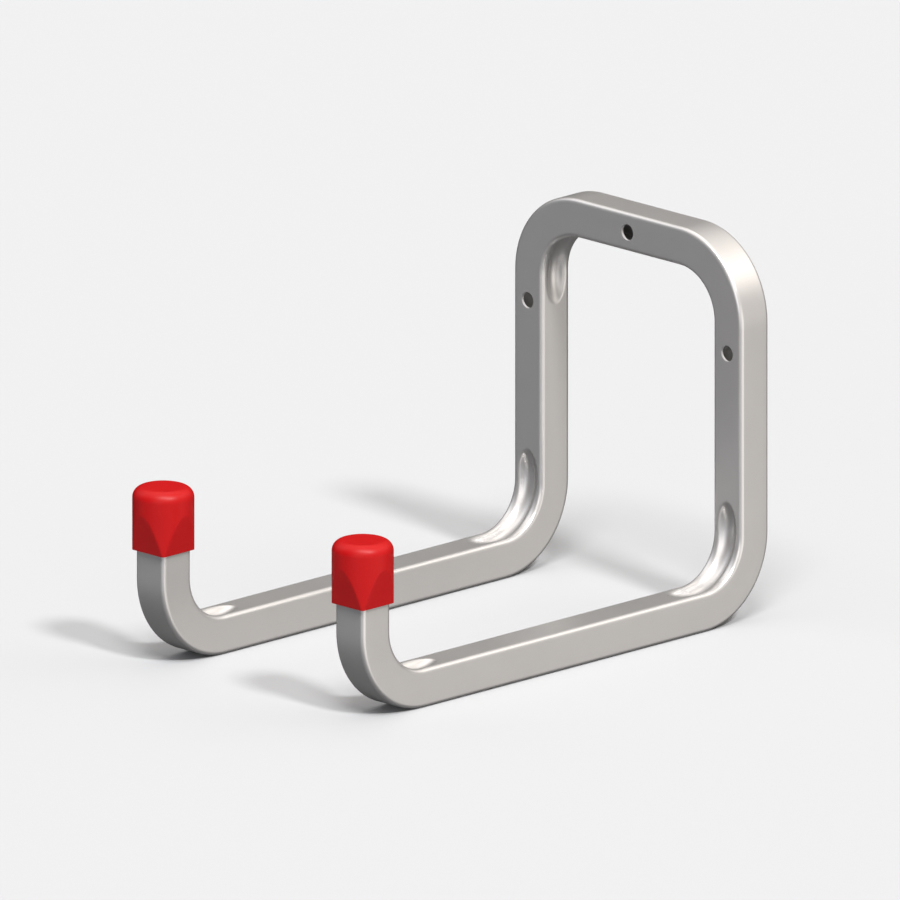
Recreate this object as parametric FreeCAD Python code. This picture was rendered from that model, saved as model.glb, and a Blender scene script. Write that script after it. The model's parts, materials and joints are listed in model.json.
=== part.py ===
import FreeCAD, Part
import math
import os

# Double utility hook for a garage wall, in millimetres.
# One length of square tube is bent six times: from the left tip down to the left arm, back to
# the wall, up the left side, over the top bar, and the same way down and forward on the right.
# The wall is the plane Y = 0 and the arms reach towards -Y. X is to the right, seen from the front.
# The origin is the mouth of the top screw hole, on the wall. Moulded caps close the two tips.

# Square tube
tube_side = 20.0
tube_wall = 1.5
tube_outer_corner = 2.25
tube_inner_corner = 0.5

# Course of the tube
bend_radius = 34.5
arm_spacing = 141.0
reach = 287.5
side_height = 197.0
tip_height = 87.3

# Dent that the bending die leaves along the inside of each bend
dent_depth = 2.4
dent_run_out = 16.0
dent_lip = 3.5
dent_land = 0.1

# Screw holes, square to the wall through both walls of the tube
screw_hole_diameter = 8.4
side_hole_drop = 49.0

# End caps
cap_clearance = 0.1
cap_skirt_wall = 1.3
cap_corner_wall = 2.25
cap_socket_depth = 28.1
cap_roof = 4.8
cap_shoulder = 5.5
cap_flat_height = 20.0

# Cutting tools run past the material by this much
overrun = 5.0

quarter_turn = 90.0
origin = FreeCAD.Vector(0, 0, 0)
up = FreeCAD.Vector(0, 0, 1)
out_of_wall = FreeCAD.Vector(0, -1, 0)


def rounded_square(side, corner_radius):
    """A square face with round corners, centred on the origin in the XY plane."""
    half = side / 2
    straight = half - corner_radius
    middle = straight + corner_radius * math.cos(math.pi / 4)
    corner_points = (
        FreeCAD.Vector(half, -straight, 0),
        FreeCAD.Vector(half, straight, 0),
        FreeCAD.Vector(middle, middle, 0),
        FreeCAD.Vector(straight, half, 0),
    )
    edges = []
    for corner in range(4):
        turn = FreeCAD.Rotation(up, corner * quarter_turn)
        start, arc_start, arc_middle, arc_end = (turn.multVec(p) for p in corner_points)
        edges.append(Part.LineSegment(start, arc_start).toShape())
        edges.append(Part.Arc(arc_start, arc_middle, arc_end).toShape())
    return Part.Face(Part.Wire(edges))


def tube_course(past_tips=0.0):
    """Corners of the tube's centre line before they are rounded, from the left tip to the right."""
    half_tube = tube_side / 2
    side_x = -arm_spacing / 2
    front_y = half_tube - reach
    back_y = -half_tube
    arm_z = tube_side - side_height
    tip_z = arm_z - half_tube + tip_height + past_tips
    left = [
        FreeCAD.Vector(side_x, front_y, tip_z),
        FreeCAD.Vector(side_x, front_y, arm_z),
        FreeCAD.Vector(side_x, back_y, arm_z),
        FreeCAD.Vector(side_x, back_y, 0),
    ]
    right = [FreeCAD.Vector(-p.x, p.y, p.z) for p in reversed(left)]
    return left + right


def bends(course):
    """For each bend: the headings before and after it, its corner and the centre of its turn."""
    for before, corner, after in zip(course, course[1:], course[2:]):
        heading = (corner - before).normalize()
        turned = (after - corner).normalize()
        centre = corner + (turned - heading) * bend_radius
        yield heading, turned, corner, centre


def carried_along(section, course):
    """The solid that a section makes along the course, with a quarter bend at every corner."""

    def placed(point, heading):
        face = section.copy()
        face.Placement = FreeCAD.Placement(point, FreeCAD.Rotation(up, heading))
        return face

    pieces = []
    run_start = course[0]
    for heading, turned, corner, centre in bends(course):
        run_end = corner - heading * bend_radius
        pieces.append(placed(run_start, heading).extrude(run_end - run_start))
        axis = heading.cross(turned)
        pieces.append(placed(run_end, heading).revolve(centre, axis, quarter_turn))
        run_start = corner + turned * bend_radius
    pieces.append(placed(run_start, turned).extrude(course[-1] - run_start))
    return pieces[0].multiFuse(pieces[1:]).removeSplitter()


def die_position():
    """How far the die stands back from the centre of a bend along either run, and its radius."""
    inside = bend_radius - tube_side / 2
    halfway_round = inside + dent_depth
    # the die's rim passes through the dent halfway round the bend and through both its ends
    aside = (inside**2 + dent_run_out**2 - halfway_round**2) / (
        2 * (math.sqrt(2) * halfway_round - inside + dent_run_out)
    )
    return aside, halfway_round + math.sqrt(2) * aside


def press_radius():
    """Radius of the die's round edge, which keeps the feet of both lips on the tube's flat."""
    aside, die_radius = die_position()
    # the dent is deepest beside the start of the bend
    deepest = die_radius - aside - (bend_radius - tube_side / 2)
    lip_foot = tube_side / 2 - tube_outer_corner - dent_land
    return (lip_foot**2 + deepest**2) / (2 * deepest) - dent_lip


def dent_former(heading, turned, corner, centre, growth=0.0):
    """The ring whose rim presses the dent, growth larger where it shapes the tube's cavity."""
    aside, die_radius = die_position()
    back_off = math.sqrt(2) * aside
    ring_radius = die_radius - press_radius()
    # the ring's seams lie on its hole and on the side away from the tube, clear of the dent
    ring = Part.makeTorus(ring_radius, press_radius() + growth, origin, up, -180, 180, 360)
    outwards = (corner - centre).normalize()
    axis = heading.cross(turned)
    turn = FreeCAD.Rotation(outwards * -1, axis.cross(outwards * -1), axis, "ZXY")
    ring.Placement = FreeCAD.Placement(centre - outwards * back_off, turn)
    return ring


def dented(solid, growth=0.0):
    """The bent bar with a dent inside each bend."""
    formers = [dent_former(*bend, growth=growth) for bend in bends(tube_course())]
    return solid.cut(formers)


def lip_edges(solid):
    """Edges where the dents break out through the tube's faces."""
    dents = [
        face
        for face in solid.Faces
        if isinstance(face.Surface, Part.Toroid)
        and abs(face.Surface.MinorRadius - press_radius()) < 1e-6
    ]
    edges = [edge for face in dents for edge in face.Edges]
    return [
        edge
        for edge in edges
        if sum(edge.isSame(other) for other in edges) == 1
    ]


def screw_hole(x, z):
    """A drill through the tube, square to the wall."""
    mouth = FreeCAD.Vector(x, overrun, z)
    length = tube_side + 2 * overrun
    return Part.makeCylinder(screw_hole_diameter / 2, length, mouth, out_of_wall)


def make_hook_frame():
    """The bent tube: dented, hollow, open at both tips and drilled for three screws."""
    outside = dented(carried_along(rounded_square(tube_side, tube_outer_corner), tube_course()))
    outside = outside.makeFillet(dent_lip, lip_edges(outside))
    bore_side = tube_side - 2 * tube_wall
    bore = carried_along(rounded_square(bore_side, tube_inner_corner), tube_course(overrun))
    cavity = dented(bore, growth=tube_wall)
    side_x = arm_spacing / 2
    holes = [
        screw_hole(0, 0),
        screw_hole(-side_x, -side_hole_drop),
        screw_hole(side_x, -side_hole_drop),
    ]
    return outside.cut([cavity, *holes])


def cap_flat(cap_radius):
    """What is sliced off one side of a cap, from the square foot up to the round body."""
    foot = tube_side / 2 + cap_clearance + cap_skirt_wall
    lean = (cap_radius - foot) / cap_flat_height
    low = -overrun
    high = cap_flat_height + overrun
    outline = [
        FreeCAD.Vector(foot + lean * low, 0, low),
        FreeCAD.Vector(foot + lean * high, 0, high),
        FreeCAD.Vector(cap_radius + overrun, 0, high),
        FreeCAD.Vector(cap_radius + overrun, 0, low),
    ]
    face = Part.Face(Part.makePolygon(outline + outline[:1]))
    face.translate(out_of_wall * cap_radius)
    return face.extrude(out_of_wall * (-2 * cap_radius))


def make_end_cap(tip):
    """A cap that is round above and square at its foot, pushed down onto the tube's end."""
    half_diagonal = tube_side / math.sqrt(2) - tube_outer_corner * (math.sqrt(2) - 1)
    cap_radius = half_diagonal + cap_clearance + cap_corner_wall
    body = Part.makeCylinder(cap_radius, cap_socket_depth + cap_roof)
    top_edge = max(body.Edges, key=lambda edge: edge.BoundBox.ZMin)
    body = body.makeFillet(cap_shoulder, [top_edge])
    slices = []
    for side in range(4):
        piece = cap_flat(cap_radius)
        piece.rotate(origin, up, side * quarter_turn)
        slices.append(piece)
    socket_side = tube_side + 2 * cap_clearance
    mouth = rounded_square(socket_side, tube_outer_corner + cap_clearance)
    socket = mouth.extrude(up * cap_socket_depth)
    cap = body.cut([*slices, socket])
    cap.translate(tip - up * cap_socket_depth)
    return cap


course = tube_course()
parts = {
    "hook_frame": make_hook_frame(),
    "left_end_cap": make_end_cap(course[0]),
    "right_end_cap": make_end_cap(course[-1]),
}

os.makedirs("parts", exist_ok=True)
for name, shape in parts.items():
    shape.exportStep(f"parts/{name}.step")
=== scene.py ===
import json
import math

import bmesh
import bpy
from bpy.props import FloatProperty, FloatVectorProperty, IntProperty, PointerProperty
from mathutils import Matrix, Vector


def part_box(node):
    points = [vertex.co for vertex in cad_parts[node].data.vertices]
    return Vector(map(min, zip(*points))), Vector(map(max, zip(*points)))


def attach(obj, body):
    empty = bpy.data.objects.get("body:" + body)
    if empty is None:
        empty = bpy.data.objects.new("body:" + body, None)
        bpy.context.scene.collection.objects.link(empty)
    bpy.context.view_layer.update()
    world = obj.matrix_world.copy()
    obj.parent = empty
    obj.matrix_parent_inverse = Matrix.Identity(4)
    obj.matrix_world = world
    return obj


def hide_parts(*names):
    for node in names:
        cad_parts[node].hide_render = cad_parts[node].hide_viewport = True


bl_info = {
    "name": "Double utility hook",
    "version": (1, 0, 0),
    "blender": (4, 5, 0),
    "location": "3D View > Sidebar > Utility Hook",
    "description": "Models a double wall hook of square tube with moulded end caps",
    "category": "Object",
}

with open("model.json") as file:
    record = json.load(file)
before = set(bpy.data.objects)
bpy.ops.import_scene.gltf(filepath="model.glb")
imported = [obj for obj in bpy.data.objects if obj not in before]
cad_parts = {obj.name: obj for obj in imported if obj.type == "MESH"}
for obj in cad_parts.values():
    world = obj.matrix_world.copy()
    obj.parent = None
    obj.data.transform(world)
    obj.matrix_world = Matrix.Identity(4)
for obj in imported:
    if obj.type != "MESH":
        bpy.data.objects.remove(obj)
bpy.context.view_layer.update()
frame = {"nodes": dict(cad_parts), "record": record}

# Sizes are in metres, in the frame of the solids: the wall is the plane Y = 0, the arms reach
# towards -Y, Z is up, and the origin is the mouth of the top screw hole.
hook_low, hook_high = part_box("hook_frame")
cap_low, cap_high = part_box("left_end_cap")
screw_holes = [m for m in frame["record"]["mounts"] if m["kind"] == "bore"]
hole_radius = screw_holes[0]["dims"]["r_mm"] / 1000
tip_height = max(v.co.z for v in frame["nodes"]["hook_frame"].data.vertices if v.co.y < cap_low.y / 2)

UP = Vector((0, 0, 1))

# How finely round edges and holes are divided, and the sides of the tube that carry no dents.
TUBE_CORNER_STEPS = 8
SOCKET_CORNER_STEPS = 6
SHOULDER_STEPS = 12
FOOT_EDGE_STEPS = 2
HOLE_SIDES = 64
RUN_OUT_CUTS = 22
PLAIN_SIDE_CUTS = 3

# Points nearer than this count as one, and edges that turn more than these angles are broken, or
# stay sharp in the shading.
SAME_POINT = 1e-6
BROKEN_ABOVE = math.radians(60)
SHARP_ABOVE = math.radians(35)


def length_property(name, default, description):
    """A property that holds a length in metres."""
    return FloatProperty(
        name=name, description=description, default=default, subtype="DISTANCE", unit="LENGTH"
    )


def count_property(name, default, least, description):
    """A property that holds a number of faces or cuts."""
    return IntProperty(name=name, description=description, default=default, min=least)


def colour_property(name, default, description):
    """A property that holds a colour."""
    return FloatVectorProperty(
        name=name, description=description, default=default, subtype="COLOR", size=3, min=0, max=1
    )


class HookSizes(bpy.types.PropertyGroup):
    """Sizes of the bent tube."""

    tube_side: length_property(
        "Tube side", 2 * hook_high.z, "Width of the square tube across its flats"
    )
    tube_wall: length_property("Wall", 0.0015, "Thickness of the tube's wall")
    tube_corner: length_property(
        "Corner radius", 0.00225, "Outside radius of the tube's long edges"
    )
    bend_radius: length_property(
        "Bend radius", 0.0345, "Radius of the tube's centre line in every bend"
    )
    dent_depth: length_property(
        "Dent depth", 0.0024, "How far the inside of a bend is pressed in, halfway round it"
    )
    dent_edge_radius: length_property(
        "Dent edge radius", 0.00695, "Radius of the die's round edge, across the tube"
    )
    dent_run_out: length_property(
        "Dent run-out", 0.016, "How far a dent runs on into the straight tube, before its lip"
    )
    dent_lip: length_property(
        "Dent lip", 0.0035, "Radius at which the dent's wall rolls over into the flat"
    )
    bend_steps: count_property("Steps in a bend", 26, 4, "Faces along each quarter bend")
    steps_across: count_property("Steps across", 32, 4, "Faces across a side that carries dents")


class CapSizes(bpy.types.PropertyGroup):
    """Sizes of the moulded caps."""

    shoulder: length_property("Shoulder", 0.0055, "Radius that rounds the cap's top edge")
    flat_height: length_property(
        "Flat height", 0.020, "How high the four flats rise above the foot"
    )
    foot_half_side: length_property(
        "Foot half side", 0.0114, "From the cap's middle to a flat, at the foot"
    )
    flat_edge: length_property("Flat edge", 0.00008, "How softly a flat runs into the round wall")
    foot_edge: length_property(
        "Foot edge", 0.00025, "Width of the broken edges round the foot and the socket's mouth"
    )
    clearance: length_property("Clearance", 0.0001, "Play between the cap and the tube")
    sides: count_property("Sides", 144, 16, "Faces round the cap")
    rows: count_property("Rows", 60, 4, "Cuts up the cap's wall")


class HookColours(bpy.types.PropertyGroup):
    """Colours of the two finishes and of the stage."""

    steel: colour_property(
        "Steel", (0.60, 0.592, 0.587), "Colour that the zinc-plated steel gives to what it reflects"
    )
    cap_red: colour_property("Cap red", (0.345, 0.0012, 0.002), "Colour of the moulded caps")
    floor: colour_property("Floor", (0.402, 0.414, 0.43), "Colour of the plain floor")


class StudioView(bpy.types.PropertyGroup):
    """The camera's direction and frame."""

    azimuth: FloatProperty(
        name="Azimuth",
        description="Camera's turn about the upright axis, from the front towards the right",
        default=math.radians(45.0),
        subtype="ANGLE",
        unit="ROTATION",
    )
    elevation: FloatProperty(
        name="Elevation",
        description="Camera's height above the horizon",
        default=math.radians(15.54),
        subtype="ANGLE",
        unit="ROTATION",
    )
    distance: length_property(
        "Distance", 1.6, "From the hook to the camera, which sees without perspective"
    )


# The picture is this many pixels wide and high, a metre of the hook is this many pixels long in
# it, and the top screw hole's mouth on the wall lies at this pixel.
PICTURE_SIDE = 900
PIXELS_PER_METRE = 2000
ORIGIN_PIXEL = (655.44, 224.82)

# The studio's soft boxes: turn in degrees from +X towards +Y, lift above the horizon, strength,
# and how sharply each falls off.
SOFT_BOXES = {
    "overhead, behind": (135, 66, 2.2, 16),
    "overhead, on the left": (-105, 64, 1.2, 16),
    "high, on the left": (-158, 43, 1.7, 16),
    "high, behind on the right": (45, 40, 2.0, 14),
    "high, behind": (81, 40, 0.9, 16),
    "in front": (-60, 16, 2.2, 16),
    "low, right": (20, -10, 1.65, 16),
    "low, front right": (-15, -8, 1.3, 16),
    "low, in front": (-75, -8, 0.3, 16),
    "low, front left": (-135, -8, 0.12, 16),
}

# The studio's lamps: turn and lift in the same way, strength, and how wide each looks in degrees.
LAMPS = {
    "upper_right_lamp": (-11, 47, 2.7, 8),
    "overhead_lamp": (-45, 60, 2.3, 21),
}

# The soft light is warm, and cools towards this turn and lift.
WARM_LIGHT = (1.07, 1.0, 0.925, 1.0)
COOL_LIGHT = (0.875, 1.0, 1.2, 1.0)
COOL_SIDE = (-135, -40)
LAMP_LIGHT = (1.02, 1.0, 0.98)

# How wide the floor is and how far the camera sees.
FLOOR_SIDE = 14.0
SIGHT_LIMIT = 20.0


def deselect_everything():
    """Leaves edit mode, with nothing selected."""
    if bpy.context.object is not None and bpy.context.object.mode != "OBJECT":
        bpy.ops.object.mode_set(mode="OBJECT")
    bpy.ops.object.select_all(action="DESELECT")


def added(name):
    """The object that an operator has just added, named, with its place moved into its mesh."""
    piece = bpy.context.object
    piece.name = name
    piece.data.name = name
    bpy.ops.object.transform_apply(location=True, rotation=True, scale=True)
    return piece


def take_up(piece):
    """Makes one piece the only selected and the active one."""
    deselect_everything()
    piece.select_set(True)
    bpy.context.view_layer.objects.active = piece


def select_where(kind, wanted):
    """In edit mode, selects only the vertices, edges or faces that pass the test."""
    mesh = bmesh.from_edit_mesh(bpy.context.object.data)
    bpy.ops.mesh.select_all(action="DESELECT")
    bpy.ops.mesh.select_mode(type={"verts": "VERT", "edges": "EDGE", "faces": "FACE"}[kind])
    for element in getattr(mesh, kind):
        if wanted(element):
            element.select_set(True)
    mesh.select_flush_mode()
    bmesh.update_edit_mesh(bpy.context.object.data)


def towards(turn, lift):
    """The direction at a turn from +X towards +Y and a lift above the horizon, in degrees."""
    turn, lift = math.radians(turn), math.radians(lift)
    return Vector((math.cos(lift) * math.cos(turn), math.cos(lift) * math.sin(turn), math.sin(lift)))


def middle_of(edge):
    """The point halfway along an edge."""
    return (edge.verts[0].co + edge.verts[1].co) / 2


def modify(piece, kind, **settings):
    """Adds a modifier and applies it."""
    modifier = piece.modifiers.new(kind.title(), kind)
    for name, value in settings.items():
        setattr(modifier, name, value)
    take_up(piece)
    bpy.ops.object.modifier_apply(modifier=modifier.name)


def push_in(piece, most, weights):
    """Displaces a piece's points against their normals, by a share of the most for each."""
    modify(
        piece, "DISPLACE", direction="NORMAL", mid_level=0.0, strength=-most, vertex_group=weights.name
    )
    piece.vertex_groups.remove(piece.vertex_groups[0])


def smooth(piece):
    """Shades a piece smooth, apart from its sharp edges, and keeps its flats flat."""
    take_up(piece)
    bpy.ops.object.shade_smooth_by_angle(angle=SHARP_ABOVE)
    modify(piece, "WEIGHTED_NORMAL", keep_sharp=True)


class Course:
    """The tube's centre line: straight runs joined by quarter bends, from the left tip to the right."""

    def __init__(self, sizes):
        half = sizes.tube_side / 2
        side_x = hook_high.x - half
        front_y = hook_low.y + half
        arm_z = hook_low.z + half
        left = [
            Vector((-side_x, front_y, tip_height)),
            Vector((-side_x, front_y, arm_z)),
            Vector((-side_x, -half, arm_z)),
            Vector((-side_x, -half, 0)),
        ]
        self.corners = left + [Vector((-p.x, p.y, p.z)) for p in reversed(left)]
        self.radius = sizes.bend_radius
        self.headings = [(q - p).normalized() for p, q in zip(self.corners, self.corners[1:])]
        self.bends = []
        self.runs = []
        start = self.corners[0]
        along = 0.0
        across = Vector((0, 1, 0))
        for heading, turned, corner in zip(self.headings, self.headings[1:], self.corners[1:]):
            end = corner - heading * self.radius
            self.runs.append((start, end, heading, across, along))
            along += (end - start).length
            centre = corner + (turned - heading) * self.radius
            axis = heading.cross(turned)
            self.bends.append((centre, axis, heading, turned, end, across, along))
            across = Matrix.Rotation(math.pi / 2, 3, axis) @ across
            along += self.radius * math.pi / 2
            start = corner + turned * self.radius
        self.runs.append((start, self.corners[-1], self.headings[-1], across, along))

    def straightened(self, point):
        """Where a point of the tube would lie if the tube were straight: across, across, along."""
        for centre, axis, heading, turned, start, across, along in self.bends:
            offset = point - centre
            ahead = offset.dot(heading)
            beside = -offset.dot(turned)
            in_bend = ahead >= 0 and beside >= 0 and math.hypot(ahead, beside) < 2 * self.radius
            if in_bend and abs(offset.dot(axis)) < self.radius:
                angle = math.atan2(ahead, beside)
                back = Matrix.Rotation(-angle, 3, axis) @ offset + centre - start
                sideways = heading.cross(across)
                return Vector((back.dot(across), back.dot(sideways), along + angle * self.radius))
        best = None
        for start, end, heading, across, along in self.runs:
            offset = point - start
            ahead = min(max(offset.dot(heading), 0), (end - start).length)
            away = (offset - heading * ahead).length
            if best is None or away < best[0]:
                sideways = heading.cross(across)
                best = (away, Vector((offset.dot(across), offset.dot(sideways), along + ahead)))
        return best[1]


def pressed(deepest, radius, lip, away):
    """Depth that a round edge presses at a distance from its middle, with a lip round the dent."""
    across = radius + lip
    foot = math.sqrt(max(0.0, across**2 - (across - deepest) ** 2))
    if away >= foot:
        return 0.0
    if away <= foot * radius / across:
        return deepest - radius + math.sqrt(radius**2 - away**2)
    return lip - math.sqrt(lip**2 - (foot - away) ** 2)


class Dent:
    """The dent inside one bend, pressed by the round edge of a ring."""

    def __init__(self, sizes, bend):
        self.centre, self.axis, self.heading, self.turned = bend[:4]
        self.inside = sizes.bend_radius - sizes.tube_side / 2
        self.edge = sizes.dent_edge_radius
        self.lip = sizes.dent_lip
        deepest = self.inside + sizes.dent_depth
        run_out = sizes.dent_run_out
        self.aside = (self.inside**2 + run_out**2 - deepest**2) / (
            2 * (math.sqrt(2) * deepest - self.inside + run_out)
        )
        self.back_off = math.sqrt(2) * self.aside
        self.ring = deepest + self.back_off

    def depth_at(self, point):
        """How far the ring presses in the inside face at a point of it."""
        offset = point - self.centre
        ahead = offset.dot(self.heading)
        beside = -offset.dot(self.turned)
        if ahead >= 0 and beside >= 0:
            if math.hypot(ahead, beside) > self.inside + self.lip:
                return 0.0
            turn = math.atan2(ahead, beside) - math.pi / 4
            surface = math.sqrt(self.ring**2 - (self.back_off * math.sin(turn)) ** 2)
            middle = surface - self.back_off * math.cos(turn) - self.inside
        else:
            near, along = (ahead, -beside) if beside < 0 else (beside, -ahead)
            if abs(near - self.inside) > self.lip:
                return 0.0
            deepest = self.ring - self.aside - self.inside
            middle = pressed(deepest, self.ring, self.lip, abs(along - self.aside))
        return pressed(middle, self.edge, self.lip, abs(offset.dot(self.axis)))


class Signal:
    """A socket that carries a number, so that arithmetic on it adds Math nodes."""

    def __init__(self, finish, socket):
        self.finish = finish
        self.socket = socket

    def maths(self, operation, *values):
        """The result of one Math node."""
        return self.finish.add("ShaderNodeMath", {"operation": operation}, dict(enumerate(values)))

    def __add__(self, other):
        return self.maths("ADD", self, other)

    def __radd__(self, other):
        return self.maths("ADD", other, self)

    def __sub__(self, other):
        return self.maths("SUBTRACT", self, other)

    def __rsub__(self, other):
        return self.maths("SUBTRACT", other, self)

    def __mul__(self, other):
        return self.maths("MULTIPLY", self, other)

    def __rmul__(self, other):
        return self.maths("MULTIPLY", other, self)


class Finish:
    """A node tree for a surface or for the studio's surroundings."""

    def __init__(self, tree):
        self.tree = tree
        self.tree.nodes.clear()

    def add(self, kind, settings=None, sockets=None, output=0):
        """Adds a node: its settings first, then values or links for its sockets."""
        node = self.tree.nodes.new(kind)
        for name, value in (settings or {}).items():
            setattr(node, name, value)
        for name, value in (sockets or {}).items():
            if isinstance(value, Signal):
                self.tree.links.new(value.socket, node.inputs[name])
            else:
                node.inputs[name].default_value = value
        return Signal(self, node.outputs[output]) if node.outputs else None

    def mixed(self, share, first, second):
        """A colour between two others."""
        settings = {"data_type": "RGBA"}
        return self.add("ShaderNodeMix", settings, {0: share, 6: first, 7: second}, output=2)


def new_finish(name):
    """A material, and the finish that fills its node tree."""
    material = bpy.data.materials.new(name)
    material.use_nodes = True
    return material, Finish(material.node_tree)


def shaded(colour, factor):
    """A colour with alpha, lightened or darkened by a factor."""
    return tuple(min(1.0, channel * factor) for channel in colour) + (1.0,)


def satin_zinc(colours):
    """Bright zinc plate: fine lines along the tube, a soft mottle and a fine grain; dull inside."""
    material, finish = new_finish("satin_zinc")
    place = finish.add("ShaderNodeTexCoord", output=3)
    along_tube = finish.add("ShaderNodeAttribute", {"attribute_name": "straightened"}, output=1)
    stretched = finish.add(
        "ShaderNodeMapping", {"vector_type": "POINT"}, {"Vector": along_tube, "Scale": (2600, 2600, 28)}
    )
    drawn = finish.add("ShaderNodeTexNoise", None, {"Vector": stretched, "Scale": 1.0, "Detail": 2.0})
    mottle = finish.add("ShaderNodeTexNoise", None, {"Vector": place, "Scale": 55.0, "Detail": 3.0})
    grain = finish.add("ShaderNodeTexNoise", None, {"Vector": place, "Scale": 2400.0, "Detail": 1.0})
    light = shaded(colours.steel, 1.03)
    dark = shaded(colours.steel, 0.96)
    colour = finish.mixed(mottle * 0.7 + drawn * 0.3, dark, light)
    roughness = 0.26 + mottle * 0.05 + drawn * 0.04
    height = drawn * 0.6 + grain * 0.4
    relief = finish.add(
        "ShaderNodeBump", None, {"Strength": 0.10, "Distance": 0.00003, "Height": height}
    )
    facing_in = finish.add("ShaderNodeAttribute", {"attribute_name": "facing_in"}, output=2)
    surface = finish.add(
        "ShaderNodeBsdfPrincipled",
        None,
        {
            "Base Color": colour,
            "Metallic": 0.72 - facing_in * 0.72,
            "Roughness": roughness + facing_in * 0.3,
            "Specular Tint": (0.2, 0.2, 0.2, 1.0),
            "Normal": relief,
        },
    )
    finish.add("ShaderNodeOutputMaterial", None, {"Surface": surface})
    return material


def red_plastic(colours):
    """Moulded polyethylene: a satin skin with a very fine, soft grain."""
    material, finish = new_finish("red_plastic")
    place = finish.add("ShaderNodeTexCoord", output=3)
    cloud = finish.add("ShaderNodeTexNoise", None, {"Vector": place, "Scale": 90.0, "Detail": 2.0})
    grain = finish.add("ShaderNodeTexNoise", None, {"Vector": place, "Scale": 3000.0, "Detail": 2.0})
    colour = finish.mixed(cloud, shaded(colours.cap_red, 0.95), shaded(colours.cap_red, 1.05))
    relief = finish.add(
        "ShaderNodeBump", None, {"Strength": 0.12, "Distance": 0.00003, "Height": grain}
    )
    surface = finish.add(
        "ShaderNodeBsdfPrincipled",
        None,
        {
            "Base Color": colour,
            "Roughness": 0.40 + cloud * 0.06,
            "Normal": relief,
            "Specular IOR Level": 0.22,
        },
    )
    finish.add("ShaderNodeOutputMaterial", None, {"Surface": surface})
    return material


def plain_floor(colours):
    """Matt paper under the hook."""
    material, finish = new_finish("plain_floor")
    surface = finish.add(
        "ShaderNodeBsdfPrincipled", None, {"Base Color": shaded(colours.floor, 1.0), "Roughness": 1.0}
    )
    finish.add("ShaderNodeOutputMaterial", None, {"Surface": surface})
    return material


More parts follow.
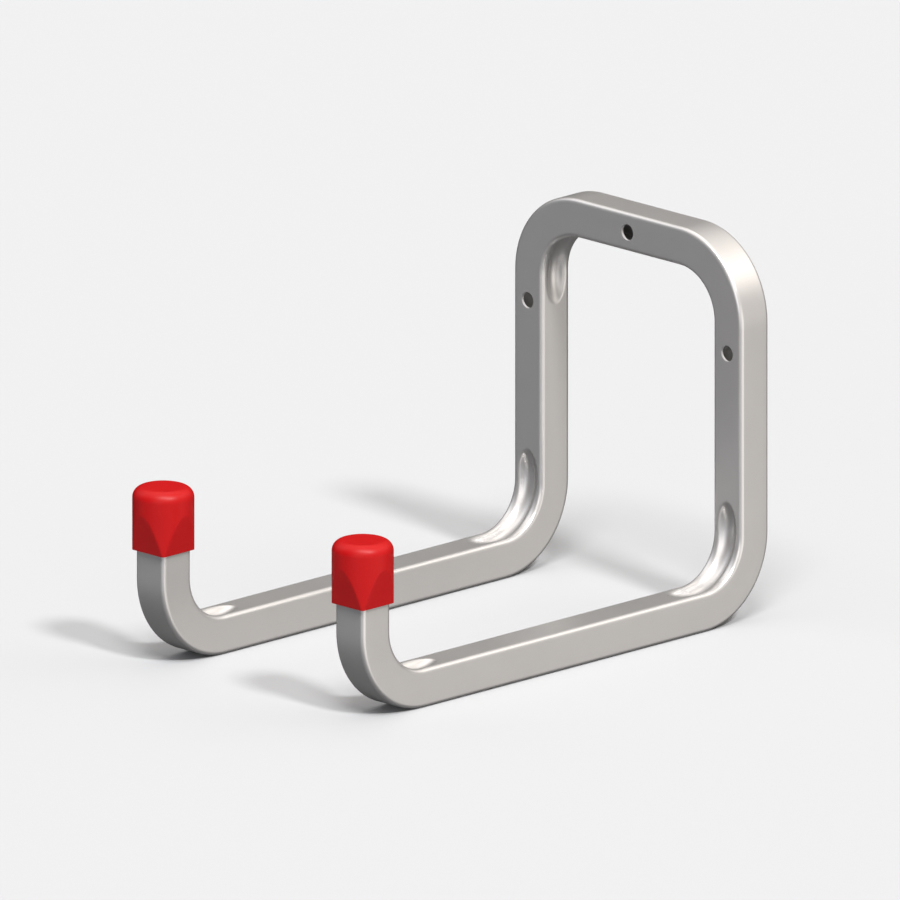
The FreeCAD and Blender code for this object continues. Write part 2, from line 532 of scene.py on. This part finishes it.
class UTILITYHOOK_OT_bend_tube(bpy.types.Operator):
    """Bend, dent, hollow and drill the square tube"""

    bl_idname = "utility_hook.bend_tube"
    bl_label = "Bend the tube"

    def execute(self, context):
        sizes = context.scene.hook_sizes
        course = Course(sizes)
        tube = self.swept_section(sizes, course)
        self.press_dents(tube, sizes, course)
        modify(tube, "SOLIDIFY", thickness=sizes.tube_wall, offset=-1.0, use_even_offset=True)
        self.drill_holes(tube, sizes)
        smooth(tube)
        self.mark_straightened(tube, course)
        tube.data.materials.append(satin_zinc(context.scene.hook_colours))
        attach(tube, "root")
        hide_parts("hook_frame")
        return {"FINISHED"}

    def swept_section(self, sizes, course):
        """The tube's skin, open at both tips."""
        half = sizes.tube_side / 2
        deselect_everything()
        bpy.ops.mesh.primitive_plane_add(size=sizes.tube_side, location=course.corners[0])
        tube = added("bent_tube")
        bpy.ops.object.mode_set(mode="EDIT")
        bpy.ops.mesh.select_all(action="SELECT")
        bpy.ops.mesh.bevel(
            offset=sizes.tube_corner,
            offset_type="OFFSET",
            segments=TUBE_CORNER_STEPS,
            profile=0.5,
            affect="VERTICES",
        )
        bpy.ops.mesh.delete(type="ONLY_FACE")
        self.divide_sides(sizes, course, half)
        margin = sizes.dent_run_out + sizes.dent_lip
        for number, (start, end, heading, across, along) in enumerate(course.runs):
            run_outs = (number > 0) + (number < len(course.bends))
            plain = (end - start).length - run_outs * margin
            if number > 0:
                self.extrude_by(heading * margin)
            self.extrude_by(heading * plain)
            if number < len(course.bends):
                self.extrude_by(heading * margin)
                centre, axis = course.bends[number][:2]
                bpy.ops.mesh.spin(
                    steps=sizes.bend_steps, angle=math.pi / 2, center=centre, axis=-axis
                )
        select_where("edges", lambda e: abs(e.calc_length() - margin) < SAME_POINT)
        bpy.ops.mesh.subdivide(number_cuts=RUN_OUT_CUTS)
        bpy.ops.mesh.select_all(action="SELECT")
        bpy.ops.mesh.remove_doubles(threshold=SAME_POINT)
        bpy.ops.mesh.normals_make_consistent(inside=False)
        bpy.ops.object.mode_set(mode="OBJECT")
        return tube

    def divide_sides(self, sizes, course, half):
        """Divides the first section's sides: finely where dents come, coarsely elsewhere."""
        middle = course.corners[0]
        for wanted, cuts in (
            (Vector((0, 1, 0)), sizes.steps_across - 1),
            (Vector((1, 0, 0)), sizes.steps_across - 1),
            (Vector((0, -1, 0)), PLAIN_SIDE_CUTS),
            (Vector((-1, 0, 0)), PLAIN_SIDE_CUTS),
        ):
            side = middle + wanted * half
            select_where("edges", lambda e: (middle_of(e) - side).length < 10 * SAME_POINT)
            bpy.ops.mesh.subdivide(number_cuts=cuts)
        bpy.ops.mesh.select_all(action="SELECT")

    def extrude_by(self, step):
        """Carries the selected section on by one step."""
        bpy.ops.mesh.extrude_region_move(TRANSFORM_OT_translate={"value": step})

    def press_dents(self, tube, sizes, course):
        """Weighs each point of the inside faces by its dent's depth and displaces it inwards."""
        dents = [Dent(sizes, bend) for bend in course.bends]
        # points further out than this lie round the tube's corners, which no dent reaches
        flat = sizes.tube_side / 2 - sizes.tube_corner / 2
        # beside a bend a dent is deeper than halfway round it, but less than twice as deep
        most = 2 * sizes.dent_depth
        weights = tube.vertex_groups.new(name="pressed")
        for vertex in tube.data.vertices:
            for dent in dents:
                offset = vertex.co - dent.centre
                if abs(offset.dot(dent.axis)) > flat or offset.length > 2 * sizes.bend_radius:
                    continue
                depth = dent.depth_at(vertex.co)
                if depth > 0:
                    weights.add([vertex.index], min(1.0, depth / most), "REPLACE")
        push_in(tube, most, weights)

    def drill_holes(self, tube, sizes):
        """Cuts the three screw holes through both walls."""
        drill_length = sizes.tube_side * 1.5
        for hole in screw_holes:
            deselect_everything()
            mouth = Vector(hole["pos_m"])
            inwards = Vector(hole["axis"])
            bpy.ops.mesh.primitive_cylinder_add(
                vertices=HOLE_SIDES,
                radius=hole_radius,
                depth=drill_length,
                location=mouth + inwards * sizes.tube_side / 2,
                rotation=inwards.to_track_quat("Z", "Y").to_euler(),
            )
            drill = added("drill")
            modify(tube, "BOOLEAN", object=drill, operation="DIFFERENCE", solver="EXACT")
            bpy.data.objects.remove(drill)

    def mark_straightened(self, tube, course):
        """Keeps for every point where it would lie on a straight tube, and whether it faces inwards."""
        marks = tube.data.attributes
        marks.new("straightened", "FLOAT_VECTOR", "POINT")
        marks.new("facing_in", "FLOAT", "POINT")
        places = marks["straightened"].data
        insides = marks["facing_in"].data
        step = 0.0001
        for vertex, place, inside in zip(tube.data.vertices, places, insides):
            place.vector = course.straightened(vertex.co)
            off = course.straightened(vertex.co + vertex.normal * step)
            inside.value = float(off.xy.length < place.vector.xy.length)


class UTILITYHOOK_OT_mould_caps(bpy.types.Operator):
    """Mould the two end caps"""

    bl_idname = "utility_hook.mould_caps"
    bl_label = "Mould the caps"

    def execute(self, context):
        sizes = context.scene.cap_sizes
        left = self.moulded_cap(sizes)
        self.cut_socket(left, sizes, context.scene.hook_sizes)
        modify(
            left,
            "BEVEL",
            width=sizes.foot_edge,
            segments=FOOT_EDGE_STEPS,
            limit_method="ANGLE",
            angle_limit=BROKEN_ABOVE,
        )
        smooth(left)
        left.data.materials.append(red_plastic(context.scene.hook_colours))
        take_up(left)
        bpy.ops.object.duplicate_move(
            TRANSFORM_OT_translate={"value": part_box("right_end_cap")[0] - cap_low}
        )
        right = added("right_cap_moulding")
        for cap, node in ((left, "left_end_cap"), (right, "right_end_cap")):
            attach(cap, "root")
            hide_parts(node)
        return {"FINISHED"}

    def moulded_cap(self, sizes):
        """The left cap's outside: round above, with a soft shoulder, and run out to a square foot."""
        middle = (cap_low + cap_high) / 2
        radius = (cap_high.x - cap_low.x) / 2
        deselect_everything()
        bpy.ops.mesh.primitive_cylinder_add(
            vertices=sizes.sides, radius=radius, depth=cap_high.z - cap_low.z, location=middle
        )
        cap = added("left_cap_moulding")
        bpy.ops.object.mode_set(mode="EDIT")
        select_where("edges", lambda e: all(cap_high.z - v.co.z < SAME_POINT for v in e.verts))
        bpy.ops.mesh.bevel(
            offset=sizes.shoulder, segments=SHOULDER_STEPS, profile=0.5, affect="EDGES"
        )
        select_where("edges", lambda e: abs(e.verts[0].co.z - e.verts[1].co.z) > sizes.flat_height)
        bpy.ops.mesh.subdivide(number_cuts=sizes.rows)
        select_where("faces", lambda f: all(v.co.z - cap_low.z < SAME_POINT for v in f.verts))
        bpy.ops.mesh.delete(type="ONLY_FACE")
        bpy.ops.object.mode_set(mode="OBJECT")
        self.press_flats(cap, sizes, middle, radius)
        bpy.ops.object.mode_set(mode="EDIT")
        select_where("verts", lambda v: v.co.z - cap_low.z < SAME_POINT)
        bpy.ops.mesh.edge_face_add()
        bpy.ops.mesh.select_all(action="SELECT")
        bpy.ops.mesh.normals_make_consistent(inside=False)
        bpy.ops.object.mode_set(mode="OBJECT")
        return cap

    def press_flats(self, cap, sizes, middle, radius):
        """Pushes the round wall in to four flats that lean outwards as they rise."""
        most = radius - sizes.foot_half_side
        soft = sizes.flat_edge
        above_flats = sizes.flat_height * 1.2
        flats = cap.vertex_groups.new(name="flats")
        for vertex in cap.data.vertices:
            offset = vertex.co - middle
            height = vertex.co.z - cap_low.z
            if height > above_flats:
                continue
            squareness = max(abs(offset.x), abs(offset.y)) / radius
            flat = sizes.foot_half_side + most * height / sizes.flat_height
            push = radius - flat / squareness
            if push > -soft:
                push = (push + soft) ** 2 / (4 * soft) if push < soft else push
                flats.add([vertex.index], min(1.0, push / most), "REPLACE")
        push_in(cap, most, flats)

    def cut_socket(self, cap, sizes, tube):
        """Hollows the cap to slip over the square tube."""
        middle = (cap_low + cap_high) / 2
        overrun = sizes.shoulder
        deselect_everything()
        bpy.ops.mesh.primitive_plane_add(
            size=tube.tube_side + 2 * sizes.clearance,
            location=(middle.x, middle.y, cap_low.z - overrun),
        )
        plug = added("plug")
        bpy.ops.object.mode_set(mode="EDIT")
        bpy.ops.mesh.select_all(action="SELECT")
        bpy.ops.mesh.bevel(
            offset=tube.tube_corner + sizes.clearance,
            offset_type="OFFSET",
            segments=SOCKET_CORNER_STEPS,
            profile=0.5,
            affect="VERTICES",
        )
        bpy.ops.mesh.extrude_region_move(
            TRANSFORM_OT_translate={"value": UP * (tip_height - cap_low.z + overrun)}
        )
        bpy.ops.mesh.select_all(action="SELECT")
        bpy.ops.mesh.normals_make_consistent(inside=False)
        bpy.ops.object.mode_set(mode="OBJECT")
        modify(cap, "BOOLEAN", object=plug, operation="DIFFERENCE", solver="EXACT")
        bpy.data.objects.remove(plug)


class UTILITYHOOK_OT_set_stage(bpy.types.Operator):
    """Lay the floor, light the studio and set up the camera"""

    bl_idname = "utility_hook.set_stage"
    bl_label = "Set the stage"

    def execute(self, context):
        view = context.scene.studio_view
        self.lay_floor(context)
        self.light_studio(context)
        turn, lift = view.azimuth, view.elevation
        right = Vector((math.cos(turn), math.sin(turn), 0))
        level = math.cos(lift)
        back = Vector((math.sin(turn) * level, -math.cos(turn) * level, math.sin(lift)))
        upwards = back.cross(right)
        middle = (
            right * (PICTURE_SIDE / 2 - ORIGIN_PIXEL[0]) + upwards * (ORIGIN_PIXEL[1] - PICTURE_SIDE / 2)
        ) / PIXELS_PER_METRE
        deselect_everything()
        bpy.ops.object.camera_add(
            location=middle + back * view.distance,
            rotation=back.to_track_quat("Z", "Y").to_euler(),
        )
        camera = context.object
        camera.name = "studio_camera"
        camera.data.type = "ORTHO"
        camera.data.ortho_scale = PICTURE_SIDE / PIXELS_PER_METRE
        camera.data.clip_end = SIGHT_LIMIT
        context.scene.camera = camera
        context.scene.view_settings.view_transform = "Standard"
        return {"FINISHED"}

    def lay_floor(self, context):
        """Lays a plain floor under the arms, which the steel doesn't mirror."""
        deselect_everything()
        bpy.ops.mesh.primitive_plane_add(size=FLOOR_SIDE, location=(0, 0, hook_low.z))
        floor = added("floor")
        floor.data.materials.append(plain_floor(context.scene.hook_colours))
        floor.visible_glossy = False

    def light_studio(self, context):
        """Soft boxes all round, and two soft lamps."""
        world = bpy.data.worlds.new("studio")
        world.use_nodes = True
        world.cycles.sampling_method = "NONE"
        context.scene.world = world
        finish = Finish(world.node_tree)
        looking = finish.add("ShaderNodeTexCoord")
        brightness = 0.0
        for turn, lift, strength, sharpness in SOFT_BOXES.values():
            brightness = brightness + self.soft_box(finish, looking, turn, lift, sharpness) * strength
        cool_side = self.facing(finish, looking, *COOL_SIDE) * 0.5 + 0.5
        colour = finish.mixed(cool_side * cool_side, WARM_LIGHT, COOL_LIGHT)
        glow = finish.add("ShaderNodeBackground", None, {"Color": colour, "Strength": brightness})
        finish.add("ShaderNodeOutputWorld", None, {"Surface": glow})
        for name, (turn, lift, energy, width) in LAMPS.items():
            deselect_everything()
            place = towards(turn, lift)
            bpy.ops.object.light_add(
                type="SUN", location=place, rotation=place.to_track_quat("Z", "Y").to_euler()
            )
            lamp = context.object
            lamp.name = name
            lamp.data.energy = energy
            lamp.data.color = LAMP_LIGHT
            lamp.data.angle = math.radians(width)

    def facing(self, finish, looking, turn, lift):
        """Cosine of the angle between the direction looked in and the one given."""
        return finish.add(
            "ShaderNodeVectorMath",
            {"operation": "DOT_PRODUCT"},
            {0: looking, 1: towards(turn, lift)},
            output=1,
        )

    def soft_box(self, finish, looking, turn, lift, sharpness):
        """A glow round one direction, which falls off softly."""
        fall_off = (self.facing(finish, looking, turn, lift) - 1) * sharpness
        return finish.add("ShaderNodeMath", {"operation": "EXPONENT"}, {0: fall_off})


class UTILITYHOOK_PT_panel(bpy.types.Panel):
    """Lists the hook's pieces, sizes and colours"""

    bl_idname = "UTILITYHOOK_PT_panel"
    bl_label = "Double utility hook"
    bl_space_type = "VIEW_3D"
    bl_region_type = "UI"
    bl_category = "Utility Hook"

    def draw(self, context):
        for group in ("hook_sizes", "cap_sizes", "hook_colours", "studio_view"):
            settings = getattr(context.scene, group)
            box = self.layout.box()
            for name in settings.__annotations__:
                box.prop(settings, name)
        for step in (UTILITYHOOK_OT_bend_tube, UTILITYHOOK_OT_mould_caps, UTILITYHOOK_OT_set_stage):
            self.layout.operator(step.bl_idname)


CLASSES = (
    HookSizes,
    CapSizes,
    HookColours,
    StudioView,
    UTILITYHOOK_OT_bend_tube,
    UTILITYHOOK_OT_mould_caps,
    UTILITYHOOK_OT_set_stage,
    UTILITYHOOK_PT_panel,
)


def register():
    for kind in CLASSES:
        bpy.utils.register_class(kind)
    bpy.types.Scene.hook_sizes = PointerProperty(type=HookSizes)
    bpy.types.Scene.cap_sizes = PointerProperty(type=CapSizes)
    bpy.types.Scene.hook_colours = PointerProperty(type=HookColours)
    bpy.types.Scene.studio_view = PointerProperty(type=StudioView)


def unregister():
    del bpy.types.Scene.studio_view
    del bpy.types.Scene.hook_colours
    del bpy.types.Scene.cap_sizes
    del bpy.types.Scene.hook_sizes
    for kind in reversed(CLASSES):
        bpy.utils.unregister_class(kind)


def main():
    register()
    bpy.ops.utility_hook.bend_tube()
    bpy.ops.utility_hook.mould_caps()
    bpy.ops.utility_hook.set_stage()


if __name__ == "__main__":
    main()
